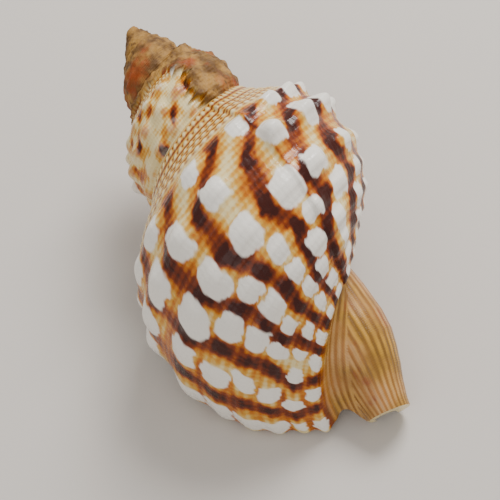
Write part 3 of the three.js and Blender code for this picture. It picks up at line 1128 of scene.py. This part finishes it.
class NodeTree:
    """Builds a material's nodes, with short calls for the kinds that the finishes use."""

    def __init__(self, name: str) -> None:
        """Makes an empty material.

        Args:
            name: name of the material.
        """
        self.material = bpy.data.materials.new(name)
        self.material.use_nodes = True
        self.nodes = self.material.node_tree.nodes
        self.links = self.material.node_tree.links
        self.nodes.clear()

    def add(self, kind: str, inputs: dict | None = None, **settings: object) -> bpy.types.Node:
        """Adds a node.

        Args:
            kind: the node's type.
            inputs: values or sockets for its inputs, by name or number.
            settings: properties of the node.

        Returns:
            The node.
        """
        node = self.nodes.new(kind)
        for key, value in settings.items():
            setattr(node, key, value)
        for key, value in (inputs or {}).items():
            self.feed(node.inputs[key], value)
        return node

    def feed(self, socket: bpy.types.NodeSocket, value: object) -> None:
        """Links a socket to an input, or sets its value.

        Args:
            socket: the input.
            value: the socket to link, or the value.
        """
        if isinstance(value, bpy.types.NodeSocket):
            self.links.new(value, socket)
        else:
            socket.default_value = value

    def math(self, operation: str, first: object, second: object = 0.0) -> bpy.types.NodeSocket:
        """Adds a sum, product or other step of arithmetic."""
        return self.add("ShaderNodeMath", {0: first, 1: second}, operation=operation).outputs[0]

    def step(self, value: object, low: float, high: float) -> bpy.types.NodeSocket:
        """Adds a smooth rise from 0 to 1.

        Args:
            value: what is measured.
            low: where the rise starts.
            high: where it ends.

        Returns:
            The socket that gives the rise.
        """
        node = self.add(
            "ShaderNodeMapRange", {"Value": value, "From Min": low, "From Max": high},
            interpolation_type="SMOOTHSTEP",
        )
        return node.outputs["Result"]

    def mix(self, part: object, first: object, second: object) -> bpy.types.NodeSocket:
        """Mixes two colours.

        Args:
            part: share of the second one.
            first: the first colour.
            second: the second colour.

        Returns:
            The socket that gives the mixed colour.
        """
        node = self.add("ShaderNodeMix", data_type="RGBA")
        for key, value in ((0, part), (6, first), (7, second)):
            self.feed(node.inputs[key], value)
        return node.outputs[2]

    def ramp(self, value: object, stops: tuple[tuple[float, Colour], ...]) -> bpy.types.NodeSocket:
        """Adds a row of colours that blend into one another at given values.

        Args:
            value: what is measured.
            stops: the values and their colours, in order.

        Returns:
            The socket that gives the colour.
        """
        node = self.add("ShaderNodeValToRGB", {0: value})
        elements = node.color_ramp.elements
        for element, (position, colour) in zip(elements, (stops[0], stops[-1])):
            element.position = position
            element.color = colour
        for position, colour in stops[1:-1]:
            elements.new(position).color = colour
        return node.outputs[0]

    def noise(self, vector: object, scale: float, detail: float = 2.0) -> bpy.types.NodeSocket:
        """Adds a noise between 0 and 1."""
        node = self.add("ShaderNodeTexNoise", {"Vector": vector, "Scale": scale, "Detail": detail})
        return node.outputs[0]


def srgb(red: int, green: int, blue: int) -> Colour:
    """Turns a given colour into linear values.

    Args:
        red: share of red, from 0 to 255.
        green: share of green.
        blue: share of blue.

    Returns:
        The colour, from 0 to 1, and fully opaque.
    """
    linear = [
        part / 12.92 if part <= 0.04045 else ((part + 0.055) / 1.055) ** 2.4
        for part in (red / 255.0, green / 255.0, blue / 255.0)
    ]
    return (*linear, 1.0)


@dataclass(frozen=True)
class ShellFinish:
    """The shell's glossy, marked surface.

    Attributes:
        porcelain: colour of the knobs and the inside.
        cream: ground of the whorls.
        straw: edge of a flame, and ground of the beaded band.
        caramel: outer part of a flame.
        brown: inner part of a flame.
        dark: middle of a flame on a cord.
        amber: ground of the neck.
        tan: ground of the crust.
        clay: patches on the neck and the crust.
        rust: patches on the crust.
        blush: cords of the neck.
        roughness: how rough the glossy surface is.
        worn_roughness: how rough the crust is.
        whorl_threads: pace of the fine threads on the whorls, for each place.
        neck_threads: pace of the cords on the neck and the canal.
        growth_lines: pace of the growth lines, for each turn.
        bump_height: height of the bump, in metres.
    """

    porcelain: Colour = srgb(238, 232, 222)
    cream: Colour = srgb(228, 208, 152)
    straw: Colour = srgb(212, 158, 58)
    caramel: Colour = srgb(190, 106, 8)
    brown: Colour = srgb(126, 48, 2)
    dark: Colour = srgb(58, 13, 2)
    amber: Colour = srgb(168, 104, 30)
    tan: Colour = srgb(168, 124, 58)
    clay: Colour = srgb(96, 64, 26)
    rust: Colour = srgb(150, 64, 8)
    blush: Colour = srgb(206, 164, 116)
    roughness: float = 0.28
    worn_roughness: float = 0.62
    whorl_threads: float = 29.0
    neck_threads: float = 17.0
    growth_lines: float = 900.0
    bump_height: float = 0.0004

    def material(self) -> bpy.types.Material:
        """Builds the material.

        Returns:
            A material that reads the growth map and the painted masks.
        """
        tree = NodeTree("triton_surface")
        growth = tree.add("ShaderNodeUVMap", uv_map=GROWTH_MAP).outputs[0]
        turn, place = tree.add("ShaderNodeSeparateXYZ", {0: growth}).outputs[:2]
        marks = tree.add("ShaderNodeAttribute", attribute_name=MARKS).outputs["Color"]
        white, flame, band = tree.add("ShaderNodeSeparateColor", {0: marks}).outputs[:3]
        regions = tree.add("ShaderNodeAttribute", attribute_name=REGIONS).outputs["Color"]
        worn, neck, inside = tree.add("ShaderNodeSeparateColor", {0: regions}).outputs[:3]
        where = tree.add("ShaderNodeTexCoord").outputs["Object"]
        grit = tree.noise(where, 420.0, 3.0)
        wobble = tree.math("SUBTRACT", grit, 0.5)
        threads = self.threads(tree, place, self.whorl_threads, wobble)
        lines = self.threads(tree, turn, self.growth_lines, tree.math("MULTIPLY", wobble, 9.0))
        soft = tree.math("MULTIPLY", wobble, 0.4)
        colour = self.marked(tree, white, flame, threads, lines, soft)
        colour = tree.mix(band, colour, self.beaded(tree, white, threads))
        colour = tree.mix(neck, colour, self.fine_corded(tree, place, where, wobble))
        colour = tree.mix(worn, colour, self.crust(tree, where))
        colour = tree.mix(inside, colour, self.porcelain)
        rough = tree.math("MULTIPLY", worn, self.worn_roughness - self.roughness)
        rough = tree.math("ADD", rough, tree.math("MULTIPLY", grit, self.roughness * 2.0))
        height = tree.math("ADD", tree.math("MULTIPLY", threads, 0.5), tree.math("MULTIPLY", lines, 0.2))
        height = tree.math("MULTIPLY", height, tree.math("SUBTRACT", 1.0, inside))
        pits = tree.math("MULTIPLY", tree.noise(where, 700.0, 6.0), tree.math("MULTIPLY", worn, 3.0))
        bump = tree.add("ShaderNodeBump", {
            "Strength": 0.4, "Distance": self.bump_height, "Height": tree.math("ADD", height, pits),
        })
        shader = tree.add("ShaderNodeBsdfPrincipled", {
            "Base Color": colour, "Roughness": rough, "Specular IOR Level": 0.32, "Normal": bump.outputs[0],
        })
        tree.add("ShaderNodeOutputMaterial", {"Surface": shader.outputs[0]})
        return tree.material

    def threads(self, tree: NodeTree, along: object, pace: float, wobble: object) -> bpy.types.NodeSocket:
        """Builds fine lines, from 0 in a groove to 1 on a thread.

        Args:
            tree: the material's nodes.
            along: the coordinate that the lines are crossed along.
            pace: how fast they follow one another.
            wobble: how far they stray.

        Returns:
            The height of the lines.
        """
        wave = tree.math("SINE", tree.math("ADD", tree.math("MULTIPLY", along, pace), wobble))
        return tree.step(wave, -1.0, 1.0)

    def marked(
        self, tree: NodeTree, white: object, flame: object, threads: object, lines: object, soft: object
    ) -> bpy.types.NodeSocket:
        """Colours the whorls: cream, crossed by flames, with white knobs.

        Args:
            tree: the material's nodes.
            white: how white the surface is.
            flame: how dark it is, with the painted shade line beside the old lip's step.
            threads: height of the fine threads.
            lines: height of the growth lines.
            soft: a little noise around 0.

        Returns:
            The colour.
        """
        value = tree.math("ADD", flame, tree.math("MULTIPLY", soft, 0.6))
        line = tree.math("MULTIPLY", tree.math("SUBTRACT", 1.0, threads), 0.1)
        line = tree.math("ADD", line, tree.math("MULTIPLY", lines, 0.05))
        ramp = tree.ramp(tree.math("ADD", value, line), (
            (0.12, self.cream), (0.3, self.straw), (0.46, self.caramel), (0.66, self.brown), (0.9, self.dark),
        ))
        return tree.mix(tree.step(tree.math("ADD", white, soft), 0.15, 0.9), ramp, self.porcelain)

    def beaded(self, tree: NodeTree, white: object, threads: object) -> bpy.types.NodeSocket:
        """Colours the band beside the suture: cream beads on straw and brown."""
        ground = tree.mix(threads, self.brown, self.straw)
        return tree.mix(white, ground, self.cream)

    def fine_corded(
        self, tree: NodeTree, place: object, where: object, wobble: object
    ) -> bpy.types.NodeSocket:
        """Colours the neck and the canal: fine pale cords on amber, clay and brown.

        Args:
            tree: the material's nodes.
            place: place in the growth map.
            where: place in space.
            wobble: noise around 0.

        Returns:
            The colour.
        """
        cords = self.threads(tree, place, self.neck_threads, wobble)
        patches = tree.step(tree.noise(where, 55.0, 3.0), 0.35, 0.65)
        spots = tree.step(tree.noise(where, 95.0, 4.0), 0.56, 0.68)
        ground = tree.mix(patches, self.amber, self.clay)
        ground = tree.mix(spots, ground, self.brown)
        crest = tree.mix(patches, self.blush, self.straw)
        fading = tree.math("MULTIPLY", cords, tree.step(tree.noise(where, 120.0, 2.0), 0.1, 0.75))
        return tree.mix(tree.math("ADD", tree.math("MULTIPLY", fading, 0.7), 0.15), ground, crest)

    def crust(self, tree: NodeTree, where: object) -> bpy.types.NodeSocket:
        """Colours the worn spire: tan and clay with rust patches.

        Args:
            tree: the material's nodes.
            where: place in space.

        Returns:
            The colour.
        """
        colour = tree.mix(tree.step(tree.noise(where, 160.0, 6.0), 0.36, 0.64), self.tan, self.clay)
        colour = tree.mix(tree.step(tree.noise(where, 75.0, 4.0), 0.52, 0.7), colour, self.rust)
        return tree.mix(tree.step(tree.noise(where, 430.0, 4.0), 0.55, 0.75), colour, self.clay)


@dataclass(frozen=True)
class Lamp:
    """A square soft light that points at the shell.

    Attributes:
        name: its name.
        place: where it hangs, in metres.
        side: length of its side.
        power: its power, in watts.
    """

    name: str
    place: tuple[float, float, float]
    side: float
    power: float


@dataclass(frozen=True)
class Studio:
    """The floor, the soft lights and the camera.

    Attributes:
        floor_colour: colour of the floor's paper.
        floor_side: length of its side, in metres.
        lamps: the soft lights.
        air_colour: colour of the light from all sides.
        air_strength: its strength.
        aim: the point that the camera and the lamps point at.
        distance: distance of the camera from that point.
        azimuth: turn of the camera about the upright axis, in degrees.
        elevation: its height above the floor, in degrees.
        camera_roll: its turn about its own line of sight, in degrees.
        lens: its focal length, in millimetres.
        sensor: width of its sensor, in millimetres.
    """

    floor_colour: Colour = srgb(208, 201, 193)
    floor_side: float = 6.0
    lamps: tuple[Lamp, ...] = (
        Lamp("key_light", (0.8, 0.4, 0.95), 0.55, 20.0),
        Lamp("fill_light", (-0.8, -0.6, 1.0), 1.0, 3.0),
    )
    air_colour: Colour = (1.0, 0.985, 0.96, 1.0)
    air_strength: float = 0.66
    aim: tuple[float, float, float] = (-0.0057, -0.0138, 0.035)
    distance: float = 0.5072
    azimuth: float = -21.77
    elevation: float = 55.95
    camera_roll: float = -15.72
    lens: float = 107.54
    sensor: float = 36.0

    def floor(self) -> bpy.types.Object:
        """Lays a plain pale floor.

        Returns:
            The floor.
        """
        sheet = bmesh.new()
        bmesh.ops.create_grid(sheet, x_segments=1, y_segments=1, size=self.floor_side / 2.0)
        mesh = bpy.data.meshes.new("floor")
        sheet.to_mesh(mesh)
        sheet.free()
        tree = NodeTree("floor_paper")
        shader = tree.add("ShaderNodeBsdfPrincipled", {"Base Color": self.floor_colour, "Roughness": 0.9})
        tree.add("ShaderNodeOutputMaterial", {"Surface": shader.outputs[0]})
        mesh.materials.append(tree.material)
        floor = shell_object("floor", mesh)
        return floor

    def hang(self, lamp: Lamp) -> None:
        """Hangs a lamp so that it points at the shell.

        Args:
            lamp: the lamp.
        """
        light = bpy.data.lights.new(lamp.name, "AREA")
        light.size = lamp.side
        light.energy = lamp.power
        hung = bpy.data.objects.new(lamp.name, light)
        hung.location = lamp.place
        hung.rotation_euler = (Vector(self.aim) - Vector(lamp.place)).to_track_quat("-Z", "Y").to_euler()
        bpy.context.scene.collection.objects.link(hung)

    def lights(self) -> None:
        """Hangs the lamps and sets the pale light from all sides."""
        for lamp in self.lamps:
            self.hang(lamp)
        world = bpy.data.worlds.new("surroundings")
        bpy.context.scene.world = world
        world.use_nodes = True
        background = world.node_tree.nodes["Background"]
        background.inputs["Color"].default_value = self.air_colour
        background.inputs["Strength"].default_value = self.air_strength

    def camera(self) -> None:
        """Puts the camera at the photograph's angle."""
        azimuth = math.radians(self.azimuth)
        elevation = math.radians(self.elevation)
        back = Vector((
            math.sin(azimuth) * math.cos(elevation),
            -math.cos(azimuth) * math.cos(elevation),
            math.sin(elevation),
        ))
        level = Vector((math.cos(azimuth), math.sin(azimuth), 0.0))
        upright = back.cross(level)
        roll = math.radians(self.camera_roll)
        right = level * math.cos(roll) + upright * math.sin(roll)
        up = back.cross(right)
        lens = bpy.data.cameras.new("camera")
        lens.lens = self.lens
        lens.sensor_width = self.sensor
        lens.clip_start = 0.01
        camera = bpy.data.objects.new("camera", lens)
        turned = Matrix((right, up, back)).transposed().to_4x4()
        camera.matrix_world = Matrix.Translation(Vector(self.aim) + back * self.distance) @ turned
        bpy.context.scene.collection.objects.link(camera)
        bpy.context.scene.camera = camera


def main() -> None:
    """Builds the shell, dresses it, and sets the studio around it."""
    logging.basicConfig(level=logging.INFO, format="%(name)s: %(message)s")
    studio = Studio()
    studio.camera()
    maker = TritonShell()
    shell = maker.build()
    Markings(maker.relief).paint(shell.data)
    shell.data.shade_smooth()
    shell.data.set_sharp_from_angle(angle=math.radians(SHARP_EDGE))
    shell.data.materials.clear()
    shell.data.materials.append(ShellFinish().material())
    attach(shell, "root")
    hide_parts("shell")
    triangles = sum(len(face.vertices) - 2 for face in shell.data.polygons)
    LOG.info("triton_shell: %d triangles", triangles)
    studio.floor()
    studio.lights()


if __name__ == "__main__":
    main()
